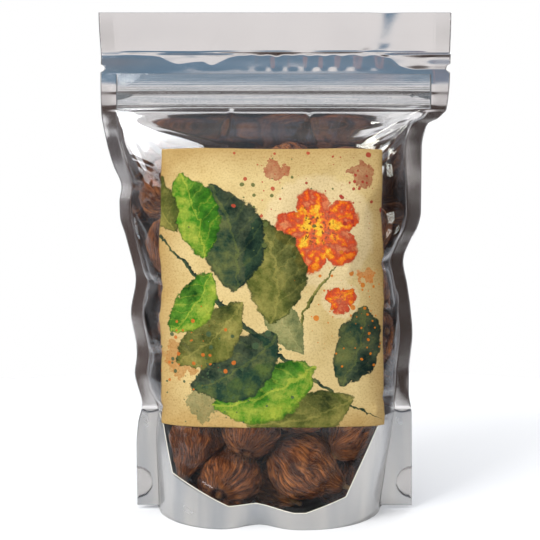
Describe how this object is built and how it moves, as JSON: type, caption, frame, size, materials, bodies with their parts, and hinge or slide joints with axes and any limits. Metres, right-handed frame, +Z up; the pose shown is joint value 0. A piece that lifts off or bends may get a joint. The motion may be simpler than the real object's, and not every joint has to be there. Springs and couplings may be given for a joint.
{
  "type": "stand-up pouch of dried figs",
  "caption": "Stand-up resealable food pouch with a clear front, a silver back and bottom gusset and a paper label, filled with whole dried figs.",
  "frame": {"origin": "under the middle of the box around the whole pouch, on the surface that it stands on", "axes": "+Z up the pouch, +Y through it from the front to the back, +X along its width with the front seen from -Y"},
  "size_m": [0.2, 0.0906, 0.282],
  "materials": {
    "clear_film": "glossy clear laminate film",
    "silver_film": "satin metallised laminate film",
    "zip_plastic": "translucent extruded polyethylene",
    "label_paper": "matt kraft-toned paper with a printed design",
    "fig_skin": "wrinkled dried fruit skin, half matt"
  },
  "bodies": {
    "root": {"front_web": "clear_film", "back_web": "silver_film", "bottom_gusset": "silver_film", "zip_front": "zip_plastic", "zip_back": "zip_plastic", "paper_label": "label_paper", "fig_01": "fig_skin", "fig_02": "fig_skin", "fig_03": "fig_skin", "fig_04": "fig_skin", "fig_05": "fig_skin", "fig_06": "fig_skin", "fig_07": "fig_skin", "fig_08": "fig_skin", "fig_09": "fig_skin", "fig_10": "fig_skin", "fig_11": "fig_skin", "fig_12": "fig_skin", "fig_13": "fig_skin", "fig_14": "fig_skin", "fig_15": "fig_skin", "fig_16": "fig_skin", "fig_17": "fig_skin", "fig_18": "fig_skin", "fig_19": "fig_skin", "fig_20": "fig_skin", "fig_21": "fig_skin", "fig_22": "fig_skin", "fig_23": "fig_skin", "fig_24": "fig_skin", "fig_25": "fig_skin", "fig_26": "fig_skin", "fig_27": "fig_skin", "fig_28": "fig_skin", "fig_29": "fig_skin", "fig_30": "fig_skin", "fig_31": "fig_skin", "fig_32": "fig_skin", "fig_33": "fig_skin", "fig_34": "fig_skin", "fig_35": "fig_skin", "fig_36": "fig_skin", "fig_37": "fig_skin", "fig_38": "fig_skin", "fig_39": "fig_skin", "fig_40": "fig_skin", "fig_41": "fig_skin", "fig_42": "fig_skin", "fig_43": "fig_skin", "fig_44": "fig_skin", "fig_45": "fig_skin", "fig_46": "fig_skin", "fig_47": "fig_skin", "fig_48": "fig_skin", "fig_49": "fig_skin", "fig_50": "fig_skin", "fig_51": "fig_skin", "fig_52": "fig_skin", "fig_53": "fig_skin"}
  },
  "joints": []
}
